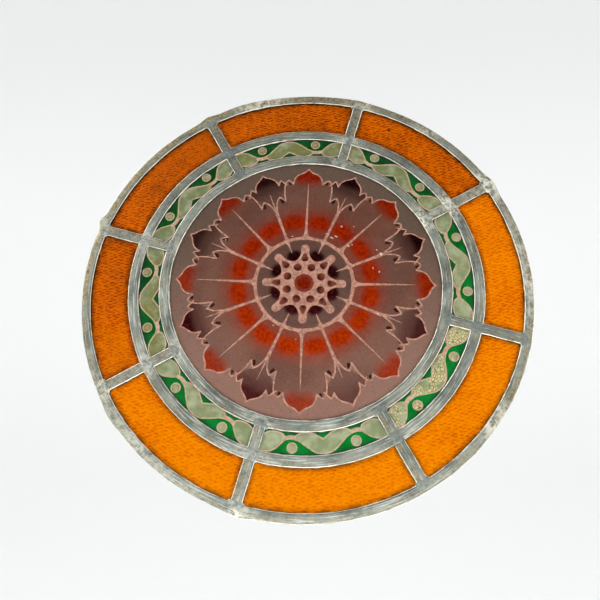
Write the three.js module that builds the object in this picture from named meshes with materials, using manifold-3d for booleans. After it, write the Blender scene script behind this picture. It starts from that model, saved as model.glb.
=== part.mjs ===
// A round leaded glass window panel, in millimetres, with Z up.
//
// The panel stands upright, as it does when it is built into a window.
// Its front faces -Y. The origin is the centre of the panel, in the plane
// of the back faces of the lead, where the panel bears on its rebate.
//
// A disc of glass lies in the middle. Around it run a narrow ring of green
// glass and a broad ring of amber glass, each in eight pieces. Lead cames
// of H section hold the glass: three rings and eight pairs of spokes.

import * as THREE from 'three';
import { mergeVertices } from 'three/addons/utils/BufferGeometryUtils.js';
import Module from 'manifold-3d';

// Widths met on the way out from the centre of the panel.
const ROSETTE_SIGHT_RADIUS = 151.5;
const INNER_CAME_WIDTH = 11.5;
const GREEN_BAND_WIDTH = 23;
const MIDDLE_CAME_WIDTH = 11.5;
const AMBER_BAND_WIDTH = 42;
const RIM_CAME_WIDTH = 10.5;

// Spokes.
const SPOKE_COUNT = 8;
const SPOKE_CAME_WIDTH = 11.5;
const FIRST_SPOKE_DEGREES = 29;

// Section of the lead: two flanges joined by a heart, with a flat crown on
// each flange and shoulders that fall to a thin lip along the glass.
const HEART_THICKNESS = 1.6;
const FLANGE_THICKNESS = 1.2;
const LIP_THICKNESS = 0.7;
const SHOULDER_WIDTH = 2.4;

// Glass and its fits.
const GLASS_THICKNESS = 3;
const GLASS_FACE_PLAY = 0.3;
const GLASS_EDGE_PLAY = 0.8;
const SOLDER_GAP = 0.3;

// Fineness of the round shapes.
const RING_FACETS = 72;
const ARC_STEPS = 5;

// Radii of the flange edges, from the centre out.
const INNER_CAME_FROM = ROSETTE_SIGHT_RADIUS;
const INNER_CAME_TO = INNER_CAME_FROM + INNER_CAME_WIDTH;
const MIDDLE_CAME_FROM = INNER_CAME_TO + GREEN_BAND_WIDTH;
const MIDDLE_CAME_TO = MIDDLE_CAME_FROM + MIDDLE_CAME_WIDTH;
const RIM_CAME_FROM = MIDDLE_CAME_TO + AMBER_BAND_WIDTH;
const RIM_CAME_TO = RIM_CAME_FROM + RIM_CAME_WIDTH;

// Depths, from the back faces of the lead towards the front.
const CHANNEL_DEPTH = GLASS_THICKNESS + 2 * GLASS_FACE_PLAY;
const CAME_DEPTH = CHANNEL_DEPTH + 2 * FLANGE_THICKNESS;
const CHANNEL_BACK = FLANGE_THICKNESS;
const CHANNEL_FRONT = CAME_DEPTH - FLANGE_THICKNESS;
const GLASS_BACK = CHANNEL_BACK + GLASS_FACE_PLAY;

const TURN = 2 * Math.PI;
const SPOKE_STEP = TURN / SPOKE_COUNT;
const FIRST_SPOKE = THREE.MathUtils.degToRad(FIRST_SPOKE_DEGREES);

const wasm = await Module();
wasm.setup();

const lead = new THREE.MeshStandardMaterial({ color: 0x8d968c, roughness: 0.6, metalness: 0.6 });
const amber = new THREE.MeshStandardMaterial({ color: 0xe07812, roughness: 0.15, metalness: 0 });
const green = new THREE.MeshStandardMaterial({ color: 0x1f7a35, roughness: 0.15, metalness: 0 });
const mauve = new THREE.MeshStandardMaterial({ color: 0x6e5355, roughness: 0.2, metalness: 0 });

// A closed mesh with its shared corners merged, as a solid to cut.
function solidOf(geometry) {
  const bare = geometry.clone();
  bare.deleteAttribute('normal');
  bare.deleteAttribute('uv');
  const merged = mergeVertices(bare);
  const vertProperties = new Float32Array(merged.attributes.position.array);
  const triVerts = new Uint32Array(merged.index.array);
  return new wasm.Manifold(new wasm.Mesh({ numProp: 3, vertProperties, triVerts }));
}

function geometryOf(solid) {
  const mesh = solid.getMesh();
  const geometry = new THREE.BufferGeometry();
  geometry.setAttribute('position', new THREE.BufferAttribute(mesh.vertProperties, 3));
  geometry.setIndex(new THREE.BufferAttribute(mesh.triVerts, 1));
  geometry.computeVertexNormals();
  return geometry;
}

// Corners of a came's section, counter-clockwise: x runs across the came from
// its centre line and y runs from its back face to its front face.
function cameSection(width) {
  const edge = width / 2;
  const heart = HEART_THICKNESS / 2;
  const crown = edge - Math.min(SHOULDER_WIDTH, edge - heart);
  const backLip = CHANNEL_BACK - LIP_THICKNESS;
  const frontLip = CHANNEL_FRONT + LIP_THICKNESS;
  return [
    [-crown, 0],
    [crown, 0],
    [edge, backLip],
    [edge, CHANNEL_BACK],
    [heart, CHANNEL_BACK],
    [heart, CHANNEL_FRONT],
    [edge, CHANNEL_FRONT],
    [edge, frontLip],
    [crown, CAME_DEPTH],
    [-crown, CAME_DEPTH],
    [-edge, frontLip],
    [-edge, CHANNEL_FRONT],
    [-heart, CHANNEL_FRONT],
    [-heart, CHANNEL_BACK],
    [-edge, CHANNEL_BACK],
    [-edge, backLip],
  ].map(([across, depth]) => new THREE.Vector2(across, depth));
}

// Turns a section of radius and depth about the panel's axis, with a corner
// of the facets on the first spoke.
function turned(section) {
  const closed = [...section, section[0]];
  const geometry = new THREE.LatheGeometry(closed, RING_FACETS, FIRST_SPOKE + TURN / 4, TURN);
  return geometry.rotateX(TURN / 4);
}

function ringCame(from, to) {
  const centreLine = new THREE.Vector2((from + to) / 2, 0);
  return turned(cameSection(to - from).map((corner) => corner.add(centreLine)));
}

// The space between two rings, where a spoke fits with room for its solder.
function spaceBetween(from, to) {
  const inner = from + SOLDER_GAP;
  const outer = to - SOLDER_GAP;
  return turned([
    new THREE.Vector2(inner, -CAME_DEPTH),
    new THREE.Vector2(outer, -CAME_DEPTH),
    new THREE.Vector2(outer, 2 * CAME_DEPTH),
    new THREE.Vector2(inner, 2 * CAME_DEPTH),
  ]);
}

// A straight came along one spoke, with its ends cut to the rings.
function spokeCame(from, to, angle) {
  const shape = new THREE.Shape(cameSection(SPOKE_CAME_WIDTH));
  const spare = SPOKE_CAME_WIDTH;
  const bar = new THREE.ExtrudeGeometry(shape, { depth: to - from + 2 * spare, bevelEnabled: false });
  const across = new THREE.Vector3(0, 1, 0);
  const forward = new THREE.Vector3(0, 0, 1);
  const outward = new THREE.Vector3(1, 0, 0);
  bar.applyMatrix4(new THREE.Matrix4().makeBasis(across, forward, outward));
  bar.translate(from - spare, 0, 0);
  bar.rotateZ(angle);
  return geometryOf(solidOf(bar).intersect(solidOf(spaceBetween(from, to))));
}

// A piece of ring glass between two spokes. Its edges stand in the channels,
// clear of the hearts: two arcs, and two sides parallel to the spokes.
function ringGlass(innerHeart, outerHeart, angle) {
  const inner = innerHeart + GLASS_EDGE_PLAY;
  const outer = outerHeart - GLASS_EDGE_PLAY;
  const sideOffset = HEART_THICKNESS / 2 + GLASS_EDGE_PLAY;
  const innerInset = Math.asin(sideOffset / inner);
  const outerInset = Math.asin(sideOffset / outer);
  const start = angle;
  const end = angle + SPOKE_STEP;
  const shape = new THREE.Shape();
  shape.absarc(0, 0, outer, start + outerInset, end - outerInset, false);
  shape.absarc(0, 0, inner, end - innerInset, start + innerInset, true);
  const settings = { depth: GLASS_THICKNESS, bevelEnabled: false, curveSegments: ARC_STEPS };
  return new THREE.ExtrudeGeometry(shape, settings).translate(0, 0, GLASS_BACK);
}

function discGlass(outerHeart) {
  const radius = outerHeart - GLASS_EDGE_PLAY;
  return turned([
    new THREE.Vector2(0, GLASS_BACK),
    new THREE.Vector2(radius, GLASS_BACK),
    new THREE.Vector2(radius, GLASS_BACK + GLASS_THICKNESS),
    new THREE.Vector2(0, GLASS_BACK + GLASS_THICKNESS),
  ]);
}

function heartInside(from, to) {
  return (from + to - HEART_THICKNESS) / 2;
}

function heartOutside(from, to) {
  return (from + to + HEART_THICKNESS) / 2;
}

const group = new THREE.Group();

function addPiece(name, geometry, material) {
  const mesh = new THREE.Mesh(geometry, material);
  mesh.name = name;
  group.add(mesh);
}

addPiece('rim_came', ringCame(RIM_CAME_FROM, RIM_CAME_TO), lead);
addPiece('middle_ring_came', ringCame(MIDDLE_CAME_FROM, MIDDLE_CAME_TO), lead);
addPiece('inner_ring_came', ringCame(INNER_CAME_FROM, INNER_CAME_TO), lead);
addPiece('rosette_glass', discGlass(heartInside(INNER_CAME_FROM, INNER_CAME_TO)), mauve);

// Hearts of the rings that each band of glass stands between.
const GREEN_FROM = heartOutside(INNER_CAME_FROM, INNER_CAME_TO);
const GREEN_TO = heartInside(MIDDLE_CAME_FROM, MIDDLE_CAME_TO);
const AMBER_FROM = heartOutside(MIDDLE_CAME_FROM, MIDDLE_CAME_TO);
const AMBER_TO = heartInside(RIM_CAME_FROM, RIM_CAME_TO);

for (let i = 0; i < SPOKE_COUNT; i += 1) {
  const angle = FIRST_SPOKE + i * SPOKE_STEP;
  const number = i + 1;
  addPiece(`outer_spoke_came_${number}`, spokeCame(MIDDLE_CAME_TO, RIM_CAME_FROM, angle), lead);
  addPiece(`inner_spoke_came_${number}`, spokeCame(INNER_CAME_TO, MIDDLE_CAME_FROM, angle), lead);
  addPiece(`amber_glass_${number}`, ringGlass(AMBER_FROM, AMBER_TO, angle), amber);
  addPiece(`green_glass_${number}`, ringGlass(GREEN_FROM, GREEN_TO, angle), green);
}

// Stands the panel up, with its front towards -Y.
group.rotation.x = TURN / 4;

export default group;
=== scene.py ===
"""A round leaded glass window panel: the looks of its lead and glass.

The drawings are in millimetres on the face of the panel: x to the right, y up,
and a depth that runs from the back faces of the lead towards the front.
"""

import math

import bpy
import numpy as np
from mathutils import Matrix, Vector
from mathutils.geometry import delaunay_2d_cdt


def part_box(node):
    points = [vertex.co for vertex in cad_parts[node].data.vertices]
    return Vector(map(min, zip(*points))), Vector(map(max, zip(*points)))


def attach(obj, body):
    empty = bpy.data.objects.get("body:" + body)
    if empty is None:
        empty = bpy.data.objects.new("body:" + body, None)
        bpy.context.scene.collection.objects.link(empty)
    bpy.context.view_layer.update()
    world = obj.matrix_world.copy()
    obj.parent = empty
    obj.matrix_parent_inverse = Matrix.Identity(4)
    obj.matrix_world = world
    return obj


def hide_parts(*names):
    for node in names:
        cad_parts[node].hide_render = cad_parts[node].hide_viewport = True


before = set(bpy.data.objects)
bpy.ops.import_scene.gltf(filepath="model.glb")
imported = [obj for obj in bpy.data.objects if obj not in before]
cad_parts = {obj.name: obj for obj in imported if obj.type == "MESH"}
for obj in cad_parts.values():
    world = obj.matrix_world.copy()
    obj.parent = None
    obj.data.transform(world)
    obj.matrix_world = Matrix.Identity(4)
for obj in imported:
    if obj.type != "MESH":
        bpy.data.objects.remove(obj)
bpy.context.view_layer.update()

MM = 0.001
TURN = 2 * math.pi


# Sizes read from the frame

def outer_radius(node):
    """Outer radius of a ring or disc of the frame, in millimetres."""
    low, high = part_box(node)
    return (high[0] - low[0]) / 2 / MM


def depths(node):
    """Back and front depth of a node of the frame, in millimetres."""
    low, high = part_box(node)
    return -high[1] / MM, -low[1] / MM


RIM_TO = outer_radius("rim_came")
MIDDLE_TO = outer_radius("middle_ring_came")
INNER_TO = outer_radius("inner_ring_came")
ROSETTE_RADIUS = outer_radius("rosette_glass")
CAME_BACK, CAME_FRONT = depths("rim_came")
GLASS_BACK, GLASS_FRONT = depths("rosette_glass")

# Sizes shared with the solids
RIM_WIDTH = 10.5
MIDDLE_WIDTH = 11.5
INNER_WIDTH = 11.5
SPOKE_WIDTH = 11.5
HEART = 1.6
FLANGE = 1.2
EDGE_PLAY = 0.8
SOLDER_GAP = 0.3
SPOKES = 8
FIRST_SPOKE = 29.0

RIM_FROM = RIM_TO - RIM_WIDTH
MIDDLE_FROM = MIDDLE_TO - MIDDLE_WIDTH
INNER_FROM = INNER_TO - INNER_WIDTH
SPOKE_STEP = 360 / SPOKES
CHANNEL_BACK = CAME_BACK + FLANGE
CHANNEL_FRONT = CAME_FRONT - FLANGE


# Small tools

def unit(angle):
    """Points of the unit circle at angles in radians."""
    return np.stack([np.cos(angle), np.sin(angle)], axis=-1)


def polar(degrees, radius):
    """Points of the face from angles in degrees and radii, as an array of x and y."""
    return np.asarray(radius)[..., None] * unit(np.radians(degrees))


def turned(points, degrees):
    """Points given along and across an axis, turned to that axis."""
    angle = math.radians(degrees)
    return points @ np.array([[math.cos(angle), math.sin(angle)], [-math.sin(angle), math.cos(angle)]])


def spoke_angle(number):
    """Angle of a spoke in degrees. The first spoke is number 0."""
    return FIRST_SPOKE + number * SPOKE_STEP


def ripple(turns, seed, low, high):
    """A smooth closed wave of -1 to 1 over turns of 0 to 1, from the harmonics low to high."""
    rng = np.random.default_rng(seed)
    wave = np.zeros_like(turns, dtype=float)
    for harmonic in range(low, high + 1):
        phase, size = rng.uniform(0, TURN), rng.uniform(0.4, 1)
        wave += size * np.sin(harmonic * TURN * turns + phase)
    return wave / np.abs(wave).max()


def smoothstep(low, high, value):
    t = np.clip((value - low) / (high - low), 0, 1)
    return t * t * (3 - 2 * t)


def smooth_path(corners, step):
    """A Catmull-Rom curve through the corners, with points about step apart."""
    points = np.asarray(corners, dtype=float)
    before = 2 * points[0] - points[1]
    after = 2 * points[-1] - points[-2]
    p = np.vstack([before, points, after])
    curve = []
    for i in range(1, len(p) - 2):
        count = max(1, int(round(np.linalg.norm(p[i + 1] - p[i]) / step)))
        t = np.linspace(0, 1, count, endpoint=False)[:, None]
        a = 2 * p[i]
        b = p[i + 1] - p[i - 1]
        c = 2 * p[i - 1] - 5 * p[i] + 4 * p[i + 1] - p[i + 2]
        d = 3 * p[i] - p[i - 1] - 3 * p[i + 1] + p[i + 2]
        curve.append((a + b * t + c * t**2 + d * t**3) / 2)
    curve.append(points[-1:])
    return np.vstack(curve)


def add_object(name, data):
    obj = bpy.data.objects.new(name, data)
    bpy.context.scene.collection.objects.link(obj)
    return obj


def make_object(name, points, faces, materials, attributes, slots=None, smooth=True, along=None):
    """A mesh object from points of x, y and depth in millimetres."""
    points = np.asarray(points, dtype=float)
    world = np.stack([points[:, 0], -points[:, 2], points[:, 1]], axis=1) * MM
    mesh = bpy.data.meshes.new(name)
    mesh.from_pydata(world.tolist(), [], faces)
    for material in materials:
        mesh.materials.append(material)
    if slots is not None:
        mesh.polygons.foreach_set("material_index", np.asarray(slots, dtype=np.int32))
    mesh.polygons.foreach_set("use_smooth", np.full(len(mesh.polygons), smooth))
    for key, values in attributes.items():
        layer = mesh.attributes.new(key, "FLOAT", "POINT")
        layer.data.foreach_set("value", np.asarray(values, dtype=np.float32))
    if along is not None:
        layer = mesh.uv_layers.new(name="along")
        corner_points = np.empty(len(mesh.loops), dtype=np.int32)
        mesh.loops.foreach_get("vertex_index", corner_points)
        layer.data.foreach_set("uv", np.asarray(along, dtype=np.float32)[corner_points].ravel())
    if smooth:
        mesh.set_sharp_from_angle(angle=math.radians(38))
    mesh.validate()
    mesh.update()
    return add_object(name, mesh)


def fit(piece, node):
    """Puts a piece in the place of a node of the frame."""
    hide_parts(node)
    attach(piece, "root")


class Shell:
    """Closed bodies gathered into one mesh."""

    TONES = ("across", "solder", "oxide", "grime", "dull")

    def __init__(self):
        self.points, self.faces, self.slots, self.along = [], [], [], []
        self.tones = {key: [] for key in self.TONES}
        self.count = 0

    def add(self, points, faces, slot, along=None, **tones):
        n = len(points)
        self.points.append(points)
        self.faces += [tuple(self.count + i for i in face) for face in faces]
        self.slots += [slot] * len(faces)
        self.along.append(np.zeros((n, 2)) if along is None else along)
        for key in self.TONES:
            self.tones[key].append(np.broadcast_to(tones.get(key, 0), n))
        self.count += n

    def build(self, name, materials):
        tones = {key: np.concatenate(values) for key, values in self.tones.items()}
        points, along = np.vstack(self.points), np.vstack(self.along)
        return make_object(name, points, self.faces, materials, tones, self.slots, along=along)


# Node materials

def paint(red, green, blue):
    """A colour from its 0 to 255 values as seen on a screen."""
    def linear(value):
        share = value / 255
        return share / 12.92 if share <= 0.04045 else ((share + 0.055) / 1.055) ** 2.4
    return (linear(red), linear(green), linear(blue), 1)


class Shader:
    """Builds one Principled material from procedural nodes, one layer of colour over another."""

    def __init__(self, name):
        self.material = bpy.data.materials.new(name)
        self.material.use_nodes = True
        self.tree = self.material.node_tree
        self.tree.nodes.clear()
        self.bsdf = self.node("ShaderNodeBsdfPrincipled")
        self.node("ShaderNodeOutputMaterial", Surface=self.bsdf.outputs["BSDF"])
        self.place = self.node("ShaderNodeTexCoord").outputs["Object"]
        self.colour = None

    def fill(self, socket, value):
        """Sets an input to a value, or links it to the output of another node."""
        if isinstance(value, bpy.types.NodeSocket):
            self.tree.links.new(value, socket)
        else:
            socket.default_value = value

    def node(self, kind, **inputs):
        """A new node with its inputs filled by name."""
        node = self.tree.nodes.new(kind)
        for key, value in inputs.items():
            self.fill(node.inputs[key.replace("_", " ")], value)
        return node

    def plain(self, **values):
        """Values that are the same all over, set on the shader's own sockets."""
        for key, value in values.items():
            self.bsdf.inputs[key.replace("_", " ")].default_value = value
        return self

    def attribute(self, name):
        node = self.node("ShaderNodeAttribute")
        node.attribute_name = name
        return node.outputs["Fac"]

    def along(self, scale):
        """Places along and across the lead, drawn out by a scale."""
        node = self.node("ShaderNodeUVMap")
        node.uv_map = "along"
        return self.node("ShaderNodeMapping", Vector=node.outputs["UV"], Scale=scale).outputs["Vector"]

    def noise(self, scale, detail=3, roughness=0.55, place=None):
        place = self.place if place is None else place
        node = self.node("ShaderNodeTexNoise", Vector=place, Scale=scale, Detail=detail, Roughness=roughness)
        return node.outputs["Fac"]

    def cracks(self, scale):
        node = self.node("ShaderNodeTexVoronoi", Vector=self.place, Scale=scale)
        node.feature = "DISTANCE_TO_EDGE"
        return node.outputs["Distance"]

    def span(self, value, low, high, to_low=0, to_high=1):
        """Eases from to_low to to_high while a value goes from low to high."""
        node = self.node("ShaderNodeMapRange", Value=value, From_Min=low, From_Max=high)
        self.fill(node.inputs["To Min"], to_low)
        self.fill(node.inputs["To Max"], to_high)
        node.interpolation_type = "SMOOTHSTEP"
        return node.outputs["Result"]

    def patches(self, scale, low, high, to_low=0, to_high=1, **grain):
        """Soft patches of noise."""
        return self.span(self.noise(scale, **grain), low, high, to_low, to_high)

    def math(self, operation, a, b=0.5):
        node = self.node("ShaderNodeMath")
        node.operation = operation
        self.fill(node.inputs[0], a)
        self.fill(node.inputs[1], b)
        return node.outputs["Value"]

    def times(self, a, b):
        return self.math("MULTIPLY", a, b)

    def mix(self, factor, a, b):
        """Mixes two colours, each the output of a node or values for paint."""
        node = self.node("ShaderNodeMix")
        node.data_type = "RGBA"
        self.fill(node.inputs[0], factor)
        for socket, colour in ((node.inputs[6], a), (node.inputs[7], b)):
            self.fill(socket, paint(*colour) if isinstance(colour, tuple) else colour)
        return node.outputs[2]

    def tones(self, value, low, high, a, b):
        return self.mix(self.span(value, low, high), a, b)

    def lay(self, mask, colour):
        """Lays a colour over what is there, as strong as the mask."""
        self.colour = self.mix(mask, self.colour, colour)

    def bump(self, height, distance, strength):
        node = self.node("ShaderNodeBump", Height=height, Distance=distance, Strength=strength)
        self.fill(self.bsdf.inputs["Normal"], node.outputs["Normal"])

    def finish(self, roughness):
        self.fill(self.bsdf.inputs["Base Color"], self.colour)
        self.fill(self.bsdf.inputs["Roughness"], roughness)
        return self.material


def lead_material():
    s = Shader("lead").plain(Metallic=0.55, Specular_IOR_Level=0.4)
    side, solder = s.attribute("across"), s.attribute("solder")
    across = s.math("ABSOLUTE", side)
    broad = s.noise(30, detail=4)
    fine = s.noise(420, detail=4, roughness=0.7)
    streaks = s.noise(1, detail=4, roughness=0.6, place=s.along((0.035, 0.6, 1)))
    s.colour = s.tones(broad, 0.35, 0.65, (94, 103, 98), (144, 151, 142))
    # The pale streaks along the lead are painted sheen; the dark streaks are its tone.
    s.lay(s.span(streaks, 0.5, 0.66, 0, 0.75), (216, 221, 211))
    s.lay(s.span(streaks, 0.46, 0.3, 0, 0.6), (76, 83, 79))
    # A breath of green, dull areas that are darker towards the top as painted shade, and a dark groove of
    # painted shade along each lip.
    s.lay(s.patches(55, 0.55, 0.75, 0, 0.25, detail=2), (138, 160, 140))
    s.lay(s.attribute("dull"), s.tones(fine, 0.35, 0.65, (62, 69, 65), (98, 104, 97)))
    s.lay(s.times(s.span(across, 0.6, 0.8), s.patches(70, 0.35, 0.6, 0.2, 0.75)), (66, 69, 62))
    # Brown soil, thicker towards the outer side of the came.
    soiled = s.times(s.attribute("grime"), s.patches(75, 0.35, 0.6, 0.25, 1, detail=5, roughness=0.65))
    soiled = s.times(soiled, s.span(side, -0.6, 0.4, 0.5, 1.5))
    s.lay(soiled, s.tones(fine, 0.35, 0.65, (100, 84, 54), (168, 154, 118)))
    # Solder, lips pale from wear and from painted glints, white crust and dark specks.
    s.lay(s.times(solder, 0.8), s.tones(fine, 0.4, 0.7, (104, 111, 106), (146, 153, 146)))
    edge = s.times(s.span(across, 0.84, 0.94), s.math("SUBTRACT", 1, solder))
    s.lay(s.times(edge, s.patches(110, 0.32, 0.54, 0.3, 1)), (236, 234, 220))
    crust = s.patches(160, 0.4, 0.58, detail=6, roughness=0.75)
    s.lay(s.times(s.attribute("oxide"), crust), (232, 228, 210))
    s.lay(s.times(s.patches(700, 0.66, 0.74, detail=2), 0.6), (56, 58, 50))
    s.bump(s.math("ADD", s.times(fine, 0.6), s.times(streaks, 0.6)), 0.0006, 0.9)
    return s.finish(s.span(broad, 0.3, 0.7, 0.36, 0.56))


def cement_material():
    s = Shader("old_cement").plain(Specular_IOR_Level=0.1)
    crumbs = s.noise(900, roughness=0.7)
    s.colour = s.tones(s.noise(60, detail=4), 0.45, 0.66, (84, 72, 52), (206, 197, 172))
    s.lay(s.span(crumbs, 0.6, 0.75, 0, 0.6), (88, 78, 60))
    s.bump(crumbs, 0.0003, 0.8)
    return s.finish(0.85)


def glass(name, clearness, tint=(255, 255, 255)):
    """A shader for coloured glass whose faint glare has a tint of its own."""
    shader = Shader(name).plain(Transmission_Weight=clearness, IOR=1.3)
    return shader.plain(Specular_IOR_Level=0.2, Specular_Tint=paint(*tint))


def amber_material():
    s = glass("amber_glass", 0.85, (255, 140, 40))
    clouds = s.noise(22, detail=4)
    # The shade tone is mostly painted shade: the upper pieces and the glass near the lead are darker.
    shade = s.math("ADD", s.attribute("shade"), s.span(clouds, 0.3, 0.7, -0.12, 0.12))
    half, full = s.span(shade, 0, 0.5), s.span(shade, 0.45, 1)
    bright = s.mix(full, s.mix(half, (255, 150, 0), (244, 124, 0)), (212, 98, 4))
    deep = s.mix(full, s.mix(half, (214, 80, 0), (156, 36, 0)), (70, 8, 0))
    # The hammer marks take the deeper colour, as painted shade in the dimples.
    s.colour = s.mix(s.span(s.attribute("dimple"), 0.08, 0.68), bright, deep)
    smudges = s.patches(60, 0.52, 0.75, 0, 0.5, detail=4, roughness=0.6)
    s.lay(s.times(smudges, s.span(shade, 0, 0.8, 0.3, 1)), (120, 44, 0))
    s.lay(s.patches(420, 0.5, 0.66, 0, 0.7, roughness=0.7), deep)
    # Dirt and painted shadow along the lead, darker on the pieces in painted shade.
    grime = s.times(s.attribute("dirt_and_shadow"), s.patches(130, 0.3, 0.6, 0.3, 1, detail=4))
    s.lay(grime, s.tones(shade, 0.1, 0.7, (100, 58, 36), (34, 14, 3)))
    return s.finish(s.span(clouds, 0.3, 0.7, 0.29, 0.36))


def green_material():
    s = glass("green_glass", 0.75, (70, 190, 90))
    clouds = s.patches(45, 0.35, 0.65)
    light = s.mix(clouds, (8, 112, 36), (18, 138, 56))
    deep = s.mix(clouds, (8, 66, 22), (26, 92, 38))
    # Painted shade: darker towards the upper left.
    s.colour = s.mix(s.attribute("shade"), light, deep)
    # Dirt and painted shadow along the lead.
    s.lay(s.times(s.attribute("dirt_and_shadow"), s.patches(150, 0.2, 0.6, 0.4, 1, detail=4)), (36, 60, 52))
    return s.finish(0.3)


def leaf_material():
    s = glass("painted_leaf", 0.25)
    clouds = s.patches(80, 0.35, 0.65, detail=4)
    light = s.mix(clouds, (132, 142, 104), (166, 174, 140))
    deep = s.mix(clouds, (112, 122, 86), (156, 162, 130))
    # Painted shade: darker towards the upper left.
    s.colour = s.mix(s.attribute("shade"), light, deep)
    s.lay(s.times(s.attribute("olive"), s.patches(90, 0.35, 0.6, detail=2)), (114, 112, 50))
    # Crazed paint.
    flakes = s.cracks(330)
    worn = s.times(s.attribute("worn"), s.patches(120, 0.35, 0.55))
    s.lay(worn, s.tones(flakes, 0.02, 0.12, (92, 82, 40), (206, 196, 146)))
    # Dirt and painted shadow along the lead.
    s.lay(s.times(s.attribute("dirt_and_shadow"), 0.5), (74, 76, 58))
    s.bump(flakes, 0.0002, 0.3)
    return s.finish(0.5)


def outline_material():
    s = glass("painted_outline", 0.15)
    s.colour = s.tones(s.noise(260, detail=4), 0.35, 0.65, (170, 142, 118), (196, 168, 140))
    s.lay(s.patches(60, 0.52, 0.7, 0, 0.6), (190, 128, 106))
    return s.finish(0.5)


def rosette_material():
    s = glass("rosette_glass", 0.4, (190, 120, 100))
    clouds = s.noise(18, detail=4)
    fine = s.noise(500, roughness=0.7)
    # Painted light: the colours mixed by this tone are lighter towards the bottom of the disc.
    painted_light_below = s.attribute("painted_light_below")
    # The field, its haze, the edge outside the petals, and the sepals and hub.
    s.colour = s.mix(painted_light_below, (112, 71, 56), (136, 97, 82))
    s.lay(s.span(clouds, 0.35, 0.7, 0, 0.5), (124, 98, 88))
    s.lay(s.patches(16, 0.4, 0.6, 0, 0.45, detail=5), (88, 52, 44))
    s.lay(s.attribute("outer"), s.mix(painted_light_below, (102, 84, 72), (150, 114, 100)))
    s.lay(s.attribute("cool"), s.mix(painted_light_below, (92, 67, 58), (110, 80, 71)))
    # Pale and dark specks, and then the reds, the ruby and the dirt.
    s.lay(s.span(fine, 0.58, 0.72, 0, 0.4), (168, 138, 122))
    s.lay(s.span(fine, 0.44, 0.32, 0, 0.45), (52, 28, 24))
    mottle = s.noise(330, detail=2)
    low, high = s.mix(painted_light_below, (128, 22, 0), (154, 38, 0)), s.mix(painted_light_below, (154, 38, 0), (180, 56, 0))
    s.lay(s.attribute("red"), s.tones(mottle, 0.4, 0.6, low, high))
    dark = s.tones(mottle, 0.4, 0.65, (10, 0, 0), (36, 5, 9))
    ruby = s.mix(painted_light_below, dark, s.tones(mottle, 0.4, 0.65, (48, 4, 12), (80, 20, 26)))
    s.lay(s.attribute("ruby"), ruby)
    # Dirt and painted shadow near the edge of the disc, by the lead.
    s.lay(s.times(s.attribute("dirt_and_shadow"), s.patches(140, 0.2, 0.6, 0.2, 0.75, detail=4)), (58, 46, 40))
    return s.finish(s.span(clouds, 0.3, 0.7, 0.3, 0.4))


def flat_material(name, low, high):
    """Matt paint in one colour, with a fine grain."""
    s = glass(name, 0.15)
    s.colour = s.tones(s.noise(300, detail=4), 0.35, 0.65, low, high)
    return s.finish(0.45)


# Lead cames

LIP = 0.28
CROWN = 0.72
CROWN_STEPS = 9
RING_STEPS = 540
SPOKE_STEPS = 26
MIDDLE_DEPTH = (CAME_BACK + CAME_FRONT) / 2
# How far the lead wavers: share of its width, depth of its dents, how far it is sunk, and its twist.
WAVER, DENT, SINK, TWIST = 0.022, 0.09, 0.06, 0.06
# How far a bead of cement creeps in and out over the glass.
CREEP = 0.3


def came_section(width):
    """Corners of the lead's H section, across and in depth, with rounded faces."""
    edge, heart = width / 2, HEART / 2
    turn = np.linspace(0, math.pi, CROWN_STEPS)
    across = edge * np.sign(np.cos(turn)) * np.abs(np.cos(turn)) ** 0.8
    rise = CROWN * np.sin(turn) ** 0.9
    front = [(edge, CHANNEL_FRONT)]
    front += list(zip(across, CHANNEL_FRONT + LIP + rise))
    front += [(-edge, CHANNEL_FRONT), (-heart, CHANNEL_FRONT)]
    middle = CAME_BACK + CAME_FRONT
    back = [(-x, middle - depth) for x, depth in front]
    return np.array(front + back)


def sweep(section, path, normals, closed, scale=1.0, lift=None):
    """Points and faces of a section carried along a path. Across follows the normals."""
    steps, corners = len(path), len(section)
    scale = np.broadcast_to(scale, steps)
    across = section[None, :, 0] * scale[:, None]
    points = np.empty((steps, corners, 3))
    points[:, :, :2] = path[:, None, :] + across[:, :, None] * normals[:, None, :]
    points[:, :, 2] = section[None, :, 1]
    if lift is not None:
        points[:, :, 2] += lift
    faces = []
    for i in range(steps if closed else steps - 1):
        here, there = i * corners, ((i + 1) % steps) * corners
        for j in range(corners):
            k = (j + 1) % corners
            faces.append((here + j, there + j, there + k, here + k))
    if not closed:
        faces.append(tuple(range(corners)))
        faces.append(tuple(reversed(range((steps - 1) * corners, steps * corners))))
    return points.reshape(-1, 3), faces


def along_map(path, section):
    """Distance along the came and across it, for streaks that follow the lead."""
    run = np.concatenate([[0], np.cumsum(np.linalg.norm(np.diff(path, axis=0), axis=1))])
    side = section[:, 0] + np.where(section[:, 1] < MIDDLE_DEPTH, 40, 0)
    return np.stack([np.repeat(run, len(section)), np.tile(side, len(path))], axis=1)


def seam_section(edge, side, front):
    """A bead of cement squeezed out between the flange and the glass."""
    face = GLASS_FRONT if front else GLASS_BACK
    sign = 1 if front else -1
    lip = CHANNEL_FRONT if front else CHANNEL_BACK
    corners = [(edge - 1.2, face + 0.02 * sign), (edge + 0.35, face + 0.02 * sign),
               (edge + 0.15, face + 0.3 * sign), (edge + 0.02, lip + 0.3 * sign),
               (edge - 1.2, lip - 0.02 * sign)]
    if not front:
        corners.reverse()
    if side < 0:
        corners = [(-x, depth) for x, depth in reversed(corners)]
    return np.array(corners)


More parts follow.
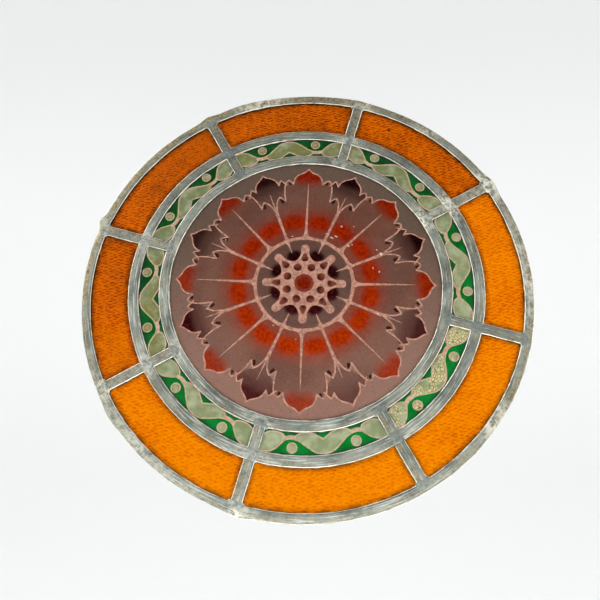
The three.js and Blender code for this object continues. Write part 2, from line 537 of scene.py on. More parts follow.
def add_came(shell, path, normals, width, closed, seed, sides=(-1, 1), wider=0.0, oxide=0.0, grime=0.4,
             dull=0.0):
    """One came with its cement seams. The path is its centre line."""
    section = came_section(width)
    steps = len(path)
    turns = np.linspace(0, 1, steps, endpoint=not closed)
    slow, quick = ((9, 60), (30, 140)) if closed else ((1, 6), (2, 12))
    scale = 1 + WAVER * ripple(turns, seed, *slow) + wider / (width / 2)
    crown = np.clip(1 - np.abs(section[:, 0]) / (width / 2), 0, 1)
    facing = np.where(section[:, 1] > MIDDLE_DEPTH, 1, -1)
    outer = (section[:, 1] > CHANNEL_FRONT + 0.1) | (section[:, 1] < CHANNEL_BACK - 0.1)
    dent = ripple(turns, seed + 1, *slow)[:, None] * DENT - SINK
    twist = ripple(turns, seed + 2, *slow)[:, None] * np.sin(section[:, 0] * 0.9)[None, :] * TWIST
    lift = (dent + twist) * (crown * facing * outer)[None, :]
    points, faces = sweep(section, path, normals, closed, scale, lift)

    def everywhere(values):
        """Values along the path, given to each corner of the section."""
        return np.repeat(np.broadcast_to(values, steps), len(section))

    # Duller where given, and darker towards the top as painted shade.
    dark = np.clip(everywhere(dull) + 0.35 * smoothstep(-40, 200, points[:, 1]), 0, 1)
    across = np.tile(section[:, 0] / (width / 2), steps)
    shell.add(points, faces, 0, along=along_map(path, section), across=across, oxide=everywhere(oxide),
              grime=everywhere(grime), dull=dark)
    for side in sides:
        for front in (True, False):
            bead = seam_section(width / 2, side, front)
            wave = ripple(turns, seed + 5 + side + 2 * front, *quick)
            # Only the outer half of the bead moves.
            reach = np.where(np.abs(bead[:, 0]) > width / 2 + 0.1, 1, 0)
            points, faces = sweep(bead, path, normals, closed, scale)
            points = points.reshape(steps, len(bead), 3)
            shift = (wave * CREEP)[:, None, None] * reach[None, :, None] * side
            points[:, :, :2] += shift * normals[:, None, :]
            shell.add(points.reshape(-1, 3), faces, 1)


def add_solder(shell, angle, radius, half_along, half_out, seed, oxide, front):
    """A flat lump of solder melted over a joint, with a ragged rim."""
    rng = np.random.default_rng(seed)
    rings, spokes = 7, 36
    turns = np.linspace(0, 1, spokes, endpoint=False)
    rag = 1 + 0.1 * ripple(turns, seed, 2, 5) + 0.04 * ripple(turns, seed + 1, 6, 12)
    base = CHANNEL_FRONT + 0.08
    top = CAME_FRONT - base - rng.uniform(0.02, 0.12)
    centre = polar(angle, radius)
    outward = polar(angle, 1.0)
    sideways = np.array([-outward[1], outward[0]])
    points = [np.array([[*centre, base + top * 0.97]])]
    for k in range(1, rings + 1):
        share = k / rings
        u = np.cos(turns * TURN) * half_along * rag * share
        v = np.sin(turns * TURN) * half_out * rag * share
        dome = max(0.0, 1 - share**3) ** 0.6
        lumps = 0.1 * ripple(turns, seed + k, 1, 6) * dome * share
        place = centre + u[:, None] * sideways + v[:, None] * outward
        depth = base + top * dome - np.abs(lumps)
        points.append(np.column_stack([place, depth]))
    points = np.vstack(points)
    if not front:
        points[:, 2] = CAME_BACK + CAME_FRONT - points[:, 2]
    faces = []
    for j in range(spokes):
        k = (j + 1) % spokes
        faces.append((0, 1 + j, 1 + k))
        for ring in range(rings - 1):
            a, b = 1 + ring * spokes, 1 + (ring + 1) * spokes
            faces.append((a + j, b + j, b + k, a + k))
    last = 1 + (rings - 1) * spokes
    faces.append(tuple(last + j for j in reversed(range(spokes))))
    # The sideways axis runs counter-clockwise, so the order above faces the back.
    if front:
        faces = [tuple(reversed(face)) for face in faces]
    distance = np.concatenate([[0], np.repeat(np.arange(1, rings + 1) / rings, spokes)])
    shell.add(points, faces, 0, solder=1 - smoothstep(0.75, 1, distance), oxide=oxide)


def bulges(angles, places):
    """Soft rises around a ring. Each place has an angle in degrees, a height and a spread."""
    rise = 0
    for at, height, spread in places:
        away = (angles - at + 180) % 360 - 180
        rise = rise + height * np.exp(-((away / spread) ** 2))
    return rise


# Where the rim stands proud of a true circle, hand-bent at its joints: angle, height, spread.
RIM_KINKS = ((29, 3.4, 2.6), (75, 1.4, 5), (108, 2.2, 8), (119, 3.0, 2.2), (162, 4.5, 1.8), (216, 2.0, 4),
             (255, 2.6, 4))
# Crumbs of pale cement along the rim, its brown soil, and a dark part of the middle ring.
RIM_CRUMBS = ((72, 0.8, 2), (103, 0.9, 7), (255, 0.8, 2), (320, 0.9, 3), (325, 0.7, 2), (228, 0.5, 20),
              (2, 0.6, 17), (52, 0.6, 5))
RIM_SOIL = ((140, 0.75, 55), (78, 0.45, 25), (345, 0.4, 35))
MIDDLE_DULL = ((141, 0.45, 22),)
# Joints with a thick white crust: spoke and strength.
CRUSTED = {0: 1.3, 1: 0.5, 3: 0.45, 4: 0.6, 5: 0.4}
CRUST_SPREAD = 5.0
# How dark each outer spoke is.
SPOKE_DULL = (0.55, 0.6, 0.4, 0.45, 0.55, 0.25, 0.25, 0.3)
# Rings: name, inner radius, width, seed.
RINGS = (
    ("rim", RIM_FROM, RIM_WIDTH, 11),
    ("middle_ring", MIDDLE_FROM, MIDDLE_WIDTH, 23),
    ("inner_ring", INNER_FROM, INNER_WIDTH, 37),
)
# Lumps of solder: radius, half length along the ring and outwards, step of the seed, share of the crust.
RIM_LUMP = (RIM_FROM + 2.4, 9.5, 6.2, 0, 1.0)
MIDDLE_LUMP = ((MIDDLE_FROM + MIDDLE_TO) / 2, 10.5, 7.4, 3, 0.7)
INNER_LUMP = (INNER_TO - 3.4, 10.5, 6.0, 0, 0.4)
BACK_SEED = 500
# Spokes: name, inner and outer radius, seed, share of the darkness, lumps of solder.
SPOKE_BANDS = (
    ("outer_spoke", MIDDLE_TO, RIM_FROM, 105, 1.0, (RIM_LUMP, MIDDLE_LUMP)),
    ("inner_spoke", INNER_TO, MIDDLE_FROM, 100, 0.4, (INNER_LUMP,)),
)


def add_rim_cement(shell, path, normals, turns, proud):
    """Old cement in the outer channel of the rim."""
    inner, outer = HEART / 2, RIM_WIDTH / 2 - 1.3
    lower, upper = CHANNEL_BACK + 0.05, CHANNEL_FRONT - 0.05
    bulge = (outer + 0.3, MIDDLE_DEPTH)
    fill = np.array([(inner, lower), (outer, lower), bulge, (outer, upper), (inner, upper)])
    swell = 0.96 + 0.04 * ripple(turns, 5, 20, 120) + 0.4 * proud / (RIM_WIDTH / 2)
    points, faces = sweep(fill, path, normals, True, swell)
    shell.add(points, faces, 1)


def build_rings(materials):
    turns = np.linspace(0, 1, RING_STEPS, endpoint=False)
    angles = np.linspace(0, 360, RING_STEPS, endpoint=False)
    normals = polar(angles, 1.0)
    for name, start, width, seed in RINGS:
        shell = Shell()
        offset = 0.35 * ripple(turns, seed + 7, 3, 16)
        looks = {"oxide": 0.05, "grime": 0.25}
        if name == "rim":
            proud = bulges(angles, RIM_KINKS)
            offset = 0.5 * offset - 0.12 + 0.6 * proud
            looks = {"oxide": np.maximum(0.1, bulges(angles, RIM_CRUMBS)),
                     "grime": 0.25 + bulges(angles, RIM_SOIL), "sides": (-1,), "wider": 0.4 * proud - 0.2}
        elif name == "middle_ring":
            looks["dull"] = bulges(angles, MIDDLE_DULL)
        for spoke, strength in CRUSTED.items():
            crust = bulges(angles, [(spoke_angle(spoke), strength, CRUST_SPREAD)])
            looks["oxide"] = np.maximum(looks["oxide"], crust)
        path = polar(angles, start + width / 2 + offset)
        add_came(shell, path, normals, width, True, seed, **looks)
        if name == "rim":
            add_rim_cement(shell, path, normals, turns, proud)
        fit(shell.build(f"{name}_lead", materials), f"{name}_came")


def build_spokes(materials):
    for i in range(SPOKES):
        angle = spoke_angle(i)
        normals = np.tile(polar(angle - 90, 1.0), (SPOKE_STEPS, 1))
        crust = CRUSTED.get(i, 0.08)
        for band, start, end, first_seed, share, lumps in SPOKE_BANDS:
            shell = Shell()
            seed = first_seed + 10 * i
            path = polar(angle, np.linspace(start + SOLDER_GAP, end - SOLDER_GAP, SPOKE_STEPS))
            looks = {"oxide": 0.3 * crust, "dull": share * SPOKE_DULL[i]}
            add_came(shell, path, normals, SPOKE_WIDTH, False, seed, **looks)
            for front in (True, False):
                more = seed + (0 if front else BACK_SEED)
                for radius, along, out, step, part in lumps:
                    add_solder(shell, angle, radius, along, out, more + step, part * crust, front)
            fit(shell.build(f"{band}_lead_{i + 1}", materials), f"{band}_came_{i + 1}")


# Amber glass, hammered on its front face

AMBER_SPACING = 0.62
# Hammer marks: distance along and between their rows, half length, half width, depth, and how
# far they stray from their places.
DIMPLE_ACROSS, DIMPLE_ROW = 9.2, 1.9
DIMPLE_LONG, DIMPLE_WIDE = 2.7, 0.82
DIMPLE_DEPTH = 0.16
DIMPLE_STRAY = (0.16, 0.36)
DIMPLE_KINDS = 512
# How strong each amber piece's hammer marks are at its first and last side.
AMBER_MARKS = ((1, 1), (1, 0.9), (0.6, 1), (1, 0.9), (0.95, 0.8), (0.8, 0.75), (0.8, 1), (1, 1))
# How dark each amber piece is at its first and last side, as painted shade: the upper pieces are darker.
AMBER_SHADES = ((0.58, 0.8), (0.86, 0.7), (1.0, 0.62), (1.0, 0.08), (0.14, 0.04), (0.0, 0.0), (0.04, 0.06),
                (0.08, 0.2))
# A dark speck baked into the glass.
AMBER_SPECK = polar(62.7, 223.0)


def dimples(x, y, seed):
    """Strength of the hammered marks at points of the face: short level dashes in staggered rows."""
    rng = np.random.default_rng(seed)
    tilt = math.radians(rng.uniform(-8, 8))
    u = x * math.cos(tilt) + y * math.sin(tilt)
    v = -x * math.sin(tilt) + y * math.cos(tilt)
    jitter = rng.uniform(-1, 1, (DIMPLE_KINDS, 3))
    nearest_row = np.floor(v / DIMPLE_ROW).astype(int)
    strength = np.zeros_like(x)
    for row in (nearest_row - 1, nearest_row, nearest_row + 1):
        stagger = (row % 2) * 0.5
        nearest = np.round(u / DIMPLE_ACROSS - stagger).astype(int)
        for column in (nearest - 1, nearest, nearest + 1):
            shake = jitter[(row * 31 + column * 17) % DIMPLE_KINDS]
            du = u - (column + stagger + DIMPLE_STRAY[0] * shake[..., 0]) * DIMPLE_ACROSS
            dv = v - (row + DIMPLE_STRAY[1] * shake[..., 1] + 0.5) * DIMPLE_ROW
            size = 0.76 + 0.24 * shake[..., 2]
            lens = np.exp(-((du / DIMPLE_LONG) ** 2 + (dv / DIMPLE_WIDE) ** 2)) * size
            strength = np.maximum(strength, lens)
    return strength


def sector(inner_heart, outer_heart, start, columns, rows):
    """A grid over one ring piece: x and y arrays of rows by columns, with sides parallel to the spokes."""
    inner, outer = inner_heart + EDGE_PLAY, outer_heart - EDGE_PLAY
    inset = HEART / 2 + EDGE_PLAY
    radius = np.linspace(inner, outer, rows)[:, None]
    side = np.degrees(np.arcsin(inset / radius))
    share = np.linspace(0, 1, columns)[None, :]
    angle = start + side + share * (SPOKE_STEP - 2 * side)
    spot = polar(angle, radius)
    return spot[..., 0], spot[..., 1], radius + 0 * share, angle


def grid_slab(x, y, front, back):
    """Closed slab over a grid, with its own front depths and a flat back."""
    rows, columns = x.shape
    index = np.arange(rows * columns).reshape(rows, columns)
    top = np.column_stack([x.ravel(), y.ravel(), front.ravel()])
    low = np.column_stack([x.ravel(), y.ravel(), np.full(x.size, back)])
    quads = np.stack([index[:-1, :-1], index[1:, :-1], index[1:, 1:], index[:-1, 1:]], axis=-1).reshape(-1, 4)
    rim = np.concatenate([index[0, :-1], index[:-1, -1], index[-1, :0:-1], index[:0:-1, 0]])
    below = {int(v): rows * columns + k for k, v in enumerate(rim)}
    faces = [tuple(int(v) for v in quad) for quad in quads]
    for a, b in zip(rim, np.roll(rim, -1)):
        faces.append((int(a), int(b), below[int(b)], below[int(a)]))
    faces.append(tuple(below[int(v)] for v in rim))
    return np.vstack([top, low[rim]]), faces


def from_sides(radius, angle, start):
    """How far points of a ring piece lie from the middle of the nearer spoke."""
    return radius * np.sin(np.radians(np.minimum(angle - start, start + SPOKE_STEP - angle)))


def band_dirt_and_shadow(radius, angle, start, inner, outer, reach):
    """How close points of a ring piece lie to the lead around them, from 0 to 1."""
    from_rings = np.minimum(radius - inner, outer - radius)
    from_spoke = from_sides(radius, angle, start) - SPOKE_WIDTH / 2
    return 1 - smoothstep(0.2, reach, np.minimum(from_rings, from_spoke))


def build_amber(materials):
    inner_heart = MIDDLE_TO - (MIDDLE_WIDTH - HEART) / 2
    outer_heart = RIM_TO - (RIM_WIDTH + HEART) / 2
    rows = int((outer_heart - inner_heart) / AMBER_SPACING)
    columns = int(math.radians(SPOKE_STEP) * (inner_heart + outer_heart) / 2 / AMBER_SPACING)
    for i in range(SPOKES):
        start = spoke_angle(i)
        x, y, radius, angle = sector(inner_heart, outer_heart, start, columns, rows)
        share = (angle - start) / SPOKE_STEP
        marks = dimples(x, y, 40 + i) * np.interp(share, (0, 1), AMBER_MARKS[i])
        calm = smoothstep(0, 3, np.minimum(radius - radius.min(), radius.max() - radius))
        points, faces = grid_slab(x, y, GLASS_FRONT - DIMPLE_DEPTH * marks * calm, GLASS_BACK)
        dark = max(AMBER_SHADES[i])
        shade = np.interp(share, (0, 1), AMBER_SHADES[i])
        shade = shade + 0.08 * np.sin(share * 5 + i) * np.cos(radius / 9 + 2 * i)
        # Painted shadow of the lead: darker within 9 mm of it.
        shade = shade + 0.3 * band_dirt_and_shadow(radius, angle, start, MIDDLE_TO, RIM_FROM, 9.0)
        # Dirt and painted shadow along the lead.
        dirt_and_shadow = band_dirt_and_shadow(radius, angle, start, MIDDLE_TO, RIM_FROM, 6.2 + 1.5 * dark)
        # More dirt and painted shade in the outer corners of the dark pieces.
        corner = 1 - smoothstep(4, 26, np.hypot(from_sides(radius, angle, start), RIM_FROM - radius))
        dirt_and_shadow = np.maximum(dirt_and_shadow, 0.75 * corner * dark)
        speck = np.hypot(x - AMBER_SPECK[0], y - AMBER_SPECK[1])
        dirt_and_shadow = np.maximum(dirt_and_shadow, 1.3 * (1 - smoothstep(0.8, 3.0, speck)))
        # The points after those of the front face belong to the back.
        behind = np.zeros(len(points) - x.size)
        tones = {"dimple": (marks, behind), "shade": (shade, behind + dark), "dirt_and_shadow": (dirt_and_shadow, behind)}
        tones = {key: np.concatenate([front.ravel(), back]) for key, (front, back) in tones.items()}
        piece = make_object(f"amber_{i + 1}", points, faces, materials, tones)
        fit(piece, f"amber_glass_{i + 1}")


# Drawings cut into flat glass faces

class Area:
    """A filled outline. Where it laps over itself it stays filled."""

    def __init__(self, outline):
        self.outline = np.asarray(outline, dtype=float)

    def holds(self, spots):
        """True for each spot inside the outline."""
        low, high = self.outline.min(axis=0), self.outline.max(axis=0)
        near = np.flatnonzero(np.all((spots >= low) & (spots <= high), axis=1))
        x, y = spots[near, 0], spots[near, 1]
        winding = np.zeros(len(near), dtype=int)
        for (x0, y0), (x1, y1) in zip(self.outline, np.roll(self.outline, -1, axis=0)):
            left = (x1 - x0) * (y - y0) - (x - x0) * (y1 - y0)
            winding += ((y0 <= y) & (y1 > y) & (left > 0)).astype(int)
            winding -= ((y0 > y) & (y1 <= y) & (left < 0)).astype(int)
        inside = np.zeros(len(spots), dtype=bool)
        inside[near[winding != 0]] = True
        return inside


class Stroke(Area):
    """A brush line: a path with a width at each point, a round end and a round or flat start."""

    def __init__(self, path, widths, round_start=True):
        path = np.asarray(path, dtype=float)
        half = np.broadcast_to(np.asarray(widths, dtype=float) / 2, len(path))
        forward = np.gradient(path, axis=0)
        forward /= np.maximum(np.linalg.norm(forward, axis=1, keepdims=True), 1e-9)
        normal = np.stack([-forward[:, 1], forward[:, 0]], axis=1)
        turn = np.linspace(0, math.pi, 6)[1:-1, None]
        end = path[-1] + half[-1] * (normal[-1] * np.cos(turn) + forward[-1] * np.sin(turn))
        start = path[0] - half[0] * (normal[0] * np.cos(turn) + forward[0] * np.sin(turn))
        left = path + normal * half[:, None]
        right = (path - normal * half[:, None])[::-1]
        super().__init__(np.vstack([left, end, right] + ([start] if round_start else [])))


def disc(centre, radius, sides=24):
    return Area(np.asarray(centre) + radius * unit(np.linspace(0, TURN, sides, endpoint=False)))


def painted_slab(boundary, layers, seeds):
    """Flat closed slab of glass whose faces are cut along the drawing.

    layers is a list of (slot, shapes), painted in order over slot 0.
    Returns points, faces, slots and the x and y of every point.
    """
    loops = [boundary] + [shape.outline for _, shapes in layers for shape in shapes]
    vertices, edges = [], []
    for loop in loops:
        first = len(vertices)
        vertices += [Vector(p) for p in loop]
        edges += [(first + i, first + (i + 1) % len(loop)) for i in range(len(loop))]
    vertices += [Vector(p) for p in seeds]
    found = delaunay_2d_cdt(vertices, edges, [], 0, 1e-5)
    flat = np.array([tuple(v) for v in found[0]])
    triangles = np.array([tuple(f) for f in found[2]])
    middle = flat[triangles].mean(axis=1)
    keep = Area(boundary).holds(middle)
    triangles, middle = triangles[keep], middle[keep]
    a, b, c = (flat[triangles[:, k]] for k in range(3))
    turn = (b[:, 0] - a[:, 0]) * (c[:, 1] - a[:, 1]) - (b[:, 1] - a[:, 1]) * (c[:, 0] - a[:, 0])
    triangles = np.where(turn[:, None] > 0, triangles, triangles[:, ::-1])
    used, triangles = np.unique(triangles, return_inverse=True)
    triangles = triangles.reshape(-1, 3)
    flat = flat[used]
    slots = np.zeros(len(triangles), dtype=int)
    for slot, shapes in layers:
        hit = np.zeros(len(triangles), dtype=bool)
        for shape in shapes:
            hit |= shape.holds(middle)
        slots[hit] = slot
    count = len(flat)
    front = np.column_stack([flat, np.full(count, GLASS_FRONT)])
    back = np.column_stack([flat, np.full(count, GLASS_BACK)])
    ways = np.vstack([triangles[:, [0, 1]], triangles[:, [1, 2]], triangles[:, [2, 0]]])
    _, where, times = np.unique(np.sort(ways, axis=1), axis=0, return_index=True, return_counts=True)
    rim = ways[where[times == 1]]
    faces = [tuple(int(v) for v in t) for t in triangles]
    faces += [tuple(int(v) + count for v in t[::-1]) for t in triangles]
    faces += [(int(b), int(a), int(a) + count, int(b) + count) for a, b in rim]
    all_slots = np.concatenate([slots, slots, np.zeros(len(rim), dtype=int)])
    return np.vstack([front, back]), faces, all_slots, np.vstack([flat, flat])


# The flower on the central disc

PETAL_STEP = 45
HALF_STEP = 22.5
FLOWER_TURN = -2.0
AXES = [PETAL_STEP * i + FLOWER_TURN for i in range(8)]
FLIP = np.array([1, -1])
LINE = 1.7
# The hub stands a little off the middle. Radii of its ring, its round holes and the ring of its heart.
HUB_SHIFT = np.array([-0.6, -1.0])
HUB_RADIUS = 54.6
EYES_AT = 20.2
HEART_FROM, HEART_TO = 8.2, 10.9
# Dabs of red: radius, half length outwards and half width.
DAB_AT, DAB_LONG, DAB_WIDE = 74.5, 12.3, 18.5
# The points of a petal's and a sepal's edge are moved by up to this much, as by hand.
SHAKE = 0.5
# Corners of half a petal's edge, from its tip down: degrees from the petal's axis, radius.
PETAL_LOBES = (
    ((0, 144.6), (1.0, 141.8), (2.6, 139.2), (4.9, 137.0), (6.8, 132.6), (8.1, 125.2)),
    ((8.1, 125.2), (9.2, 128.8), (10.6, 130.8)),
    ((10.6, 130.8), (12.2, 127.6), (13.7, 117.6), (14.4, 104.4)),
    ((14.4, 104.4), (16.2, 108.6), (17.7, 111.0)),
    ((17.7, 111.0), (19.9, 105.6), (21.5, 97.0), (22.5, 89.5)),
)
SEPAL_LOBES = (
    ((0, 145.2), (0.9, 142.2), (2.1, 140.0), (4.1, 136.8), (5.6, 132.2), (6.3, 126.4)),
    ((6.3, 126.4), (7.2, 129.9), (8.2, 132.2)),
    ((8.2, 132.2), (9.4, 128.6), (10.9, 124.4)),
)
# Half of the boss, along and across one knob: from the bottom of the bay to the knob's end.
BOSS_EDGE = ((26.1, 10.8), (28.4, 8.2), (31.4, 6.3), (34.2, 5.0), (37.4, 4.5), (41.0, 4.7), (44.2, 4.3),
             (46.2, 2.6), (47.0, 0))
# Half of the pierced hole at the foot of a knob.
DROP_EDGE = ((26.0, 0), (26.6, 2.8), (28.8, 3.9), (31.4, 3.2), (33.6, 2.3), (35.4, 1.6), (36.2, 0))
# The dark wedges in the two notches of a petal's side: degrees from the petal's axis, radius.
NOTCHES = (
    ((8.9, 125.4), (10.4, 129.2), (10.6, 125.8), (9.8, 124.2)),
    ((14.9, 104.0), (17.2, 109.2), (17.8, 105.4), (16.5, 101.8)),
)


def beside(corners, axis, side, lift=0):
    """Points of the face from corners of degrees from an axis and radius, on one side of the axis."""
    degrees, radii = np.transpose(corners)
    return polar(axis + side * degrees, radii + lift)


def shaken(lobes, side, petal):
    """The corners of one side of a petal, each moved a little as by hand."""
    rng = np.random.default_rng(97 * petal + 11 * (side + 1) + len(lobes))
    shifts = [rng.uniform(-SHAKE, SHAKE, 2) for _ in lobes] + [np.zeros(2)]
    shifts[0] = np.zeros(2)
    moved = []
    for k, lobe in enumerate(lobes):
        share = np.linspace(0, 1, len(lobe))[:, None]
        shift = shifts[k] * (1 - share) + shifts[k + 1] * share
        moved.append(np.array(lobe, dtype=float) + shift * np.array([0.35, 1.0]))
    return moved


def half_edge(lobes, axis, side, petal):
    """Paths of one side of a petal or sepal, from its tip down."""
    return [smooth_path(beside(corners, axis, side), 1.6) for corners in shaken(lobes, side, petal)]


def leaves(lobes, turn, foot):
    """The petals or sepals as areas, each down to a foot radius."""
    areas = []
    for i, axis in enumerate(AXES):
        left, right = (np.vstack(half_edge(lobes, axis + turn, side, i)) for side in (1, -1))
        areas.append(Area(np.vstack([left, polar(axis + turn, [foot]), right[::-1]])))
    return areas


def rib(axis, run):
    """Points out along an axis that start at the shifted hub and end on the true axis."""
    fade = np.clip((110 - run) / 54, 0, 1)[:, None]
    return polar(axis, run) + HUB_SHIFT * fade


def flower_strokes():
    """Every pale line of the flower outside its hub."""
    strokes = []
    rng = np.random.default_rng(8)
    for i, axis in enumerate(AXES):
        between = axis + HALF_STEP
        for side in (-1, 1):
            for lobes, at, thin, thick in ((PETAL_LOBES, axis, 0.9, 1.1), (SEPAL_LOBES, between, 0.85, 1.05)):
                for path in half_edge(lobes, at, side, i):
                    strokes.append(Stroke(path, LINE * rng.uniform(thin, thick)))
        # Midrib of the petal, which flares where it meets the ring of the hub.
        top = 125 + rng.uniform(-4, 3)
        run = np.array([HUB_RADIUS, 56.2, 57.4, 59.0, 61.5, 66, 80, 95, 110, top])
        strokes.append(Stroke(rib(axis, run), (14, 11, 8.0, 5.6, 4.0, 3.0, 2.5, 2.0, 1.3, 0.35), False))
        # Stem of the sepal, up to its fork, and the thin vein above the fork.
        run = np.array([HUB_RADIUS, 56.4, 58, 61, 66, 76, 86, 91])
        strokes.append(Stroke(rib(between, run), (8.0, 5.0, 3.6, 3.0, 2.8, 3.0, 3.4, 4.2), False))
        run = (90, 100, 110, 117 + rng.uniform(-3, 3))
        strokes.append(Stroke(polar(between, run), (1.8, 1.3, 1.0, 0.3)))
    return strokes


def hub_lines():
    """The ring of the hub, its tails and the star-shaped boss, with the pierced holes given apart."""
    lines = [Stroke(HUB_SHIFT + polar(np.linspace(0, 360, 97), HUB_RADIUS), 3.8)]
    edge, holes = [], []
    half_knob, half_drop = smooth_path(BOSS_EDGE, 1.3), smooth_path(DROP_EDGE, 1.2)
    knob = np.vstack([half_knob * FLIP, half_knob[::-1][1:]])
    drop = np.vstack([half_drop, (half_drop * FLIP)[::-1][1:]])
    for axis in AXES:
        between = axis + HALF_STEP
        tail = HUB_SHIFT + polar(between, (HUB_RADIUS, 52.8, 51, 48.6, 45.4, 42, 38.5))
        lines.append(Stroke(tail, (9, 6, 3.8, 2.3, 1.7, 1.3, 0.5), False))
        holes.append(disc(HUB_SHIFT + polar(between, EYES_AT), 4.5))
        holes.append(Area(HUB_SHIFT + turned(drop, axis)))
        edge.append(turned(knob, axis) + HUB_SHIFT)
    return lines + [Area(np.vstack(edge))], holes


def notch_darks():
    """The dark wedges in the notches of the petals."""
    return [Area(beside(corners, axis, side)) for axis in AXES for side in (-1, 1) for corners in NOTCHES]


# Chips of white dirt on the disc: degrees, radius, length along the disc's edge, width.
DUST = ((60, 62, 3.0, 1.2), (57, 66, 2.0, 1.6), (66, 64, 4.5, 0.9), (58, 80, 1.3, 1.5), (41, 66, 1.6, 1.2),
        (40, 70, 1.1, 0.9), (22, 56, 1.4, 1.0), (21, 92, 2.2, 2.0), (25, 90, 1.2, 1.2), (12, 78, 1.8, 0.7),
        (8, 84, 1.0, 1.0), (88, 60, 1.0, 0.9), (104, 58, 0.9, 0.9), (50, 88, 0.9, 0.9), (335, 88, 0.9, 1.1),
        (236, 60, 1.0, 0.8), (262, 66, 0.9, 0.8), (150, 105, 1.0, 1.0), (196, 112, 0.9, 0.9))


def dust():
    """Small pale chips that lie on the paint."""
    chips = []
    for degrees, radius, length, width in DUST:
        reach = math.degrees(length / 2 / radius)
        path = polar((degrees - reach, degrees, degrees + reach), (radius, radius + 0.3, radius))
        chips.append(Stroke(path, width))
    return chips


# How deep the ruby of each sepal's tip is.
RUBY_STRENGTH = (1.0, 1.0, 0.95, 0.85, 1.0, 0.9, 0.45, 0.85)
# How red the tip of each petal is.
TIP_STRENGTH = (1.0, 1.0, 0.97, 0.95, 0.88, 0.85, 0.75, 0.85)


def flower_fields(spots):
    """Soft colours of the disc at points of its face, each from 0 to 1."""
    radius = np.hypot(spots[:, 0], spots[:, 1])
    angle = np.degrees(np.arctan2(spots[:, 1], spots[:, 0]))
    hub = np.hypot(*(spots - HUB_SHIFT).T)
    wave = ripple((angle % 360) / 360, 77, 5, 40)
    in_petal = np.any([area.holds(spots) for area in leaves(PETAL_LOBES, 0, 60)], axis=0)
    in_sepal = np.any([area.holds(spots) for area in leaves(SEPAL_LOBES, HALF_STEP, 100)], axis=0)
    petal = (angle - FLOWER_TURN + HALF_STEP) % PETAL_STEP - HALF_STEP
    sepal = (angle - FLOWER_TURN) % PETAL_STEP - HALF_STEP
    # Sixteen soft dabs of red, one on each side of every midrib, in a faint glow.
    dab = (angle - FLOWER_TURN) % HALF_STEP - HALF_STEP / 2
    along = (radius - DAB_AT - 1.2 * wave) / DAB_LONG
    across = dab * math.pi / 180 * radius / DAB_WIDE
    red = 1 - smoothstep(0.4, 1.35, (np.abs(along) ** 2.6 + np.abs(across) ** 2.6) ** (1 / 2.6))
    red = np.maximum(red, 0.36 * (1 - smoothstep(84, 100, radius)))
    # Red tips of the petals and ruby tips of the sepals.
    tip = smoothstep(117, 133, radius + 1.2 * wave) * (1 - smoothstep(5.4, 7.4, np.abs(petal)))
    turn = ((angle - FLOWER_TURN + HALF_STEP) % 360 // PETAL_STEP).astype(int)
    tip = tip * in_petal * np.array(TIP_STRENGTH)[turn]
    red = np.maximum(red, tip)
    depth = 0.6 * smoothstep(108, 128, radius + wave) + 0.4 * smoothstep(126, 134, radius + wave)
    strength = np.array(RUBY_STRENGTH)[((angle - FLOWER_TURN) % 360 // PETAL_STEP).astype(int)]
    ruby = np.maximum(depth * strength * in_sepal, 0.2 * tip)
    # Shadows between the knobs, and inside the holes of the boss on the side of the centre.
    bay = np.hypot(radius * np.cos(np.radians(sepal)) - 33.5, radius * np.sin(np.radians(sepal)) * 0.8)
    ruby = np.maximum(ruby, (1 - smoothstep(5.0, 9.0, bay)) * (hub < 46))
    hole = np.where(np.abs(petal) < HALF_STEP / 2, 30.0, EYES_AT)
    inner = 0.75 * (1 - smoothstep(hole - 2.2, hole + 2.6, hub))
    pierced = (hub < 36.8) & (hub > 11.4) & (bay > 9)
    ruby = np.where(pierced, inner, ruby)
    red = np.where(hub > 54, red, np.where(pierced, 0.4, 0))
    red = np.maximum(red, 1 - smoothstep(7.2, 8.6, hub))
    ruby = np.where(hub > 11.2, ruby, 0.4)
    # Painted light: the disc is lighter towards the bottom.
    painted_light_below = smoothstep(80, -130, spots[:, 1])
    cool = 0.9 * (1 - smoothstep(49, 54, hub))
    cool = np.maximum(cool, 0.5 * in_sepal)
    outer = (~(in_petal | in_sepal)) * smoothstep(90, 100, radius)
    # Dirt and painted shadow near the edge of the disc, by the lead.
    dirt_and_shadow = smoothstep(ROSETTE_RADIUS - 8.0, ROSETTE_RADIUS - 3.5, radius)
    return {"red": red, "ruby": ruby, "painted_light_below": painted_light_below, "cool": cool, "outer": outer, "dirt_and_shadow": dirt_and_shadow}


def face_seeds(spacing, keep):
    """A loose triangular lattice of points where keep says so."""
    rng = np.random.default_rng(2)
    count = int(2 * RIM_TO / spacing) + 2
    x, y = np.meshgrid(np.arange(count) * spacing, np.arange(int(count * 1.16)) * spacing * 0.866)
    x = x + (np.arange(x.shape[0]) % 2)[:, None] * spacing / 2
    spots = np.stack([x.ravel() - RIM_TO, y.ravel() - RIM_TO], axis=1)
    spots += rng.uniform(-0.12, 0.12, spots.shape) * spacing
    return spots[keep(spots)]


def build_rosette(materials):
    edge = polar(np.linspace(0, 360, 180, endpoint=False), ROSETTE_RADIUS)
    lines = flower_strokes()
    boss, holes = hub_lines()
    heart, core = disc(HUB_SHIFT, HEART_TO, 40), disc(HUB_SHIFT, HEART_FROM, 32)
    layers = [(1, lines + boss), (0, holes), (3, [heart]), (0, [core]), (2, notch_darks()), (4, dust())]
    seeds = face_seeds(2.3, lambda p: np.hypot(p[:, 0], p[:, 1]) < ROSETTE_RADIUS - 1)
    points, faces, slots, spots = painted_slab(edge, layers, seeds)
    piece = make_object("rosette", points, faces, materials, flower_fields(spots), slots, smooth=False)
    fit(piece, "rosette_glass")


# The scroll on the green glass

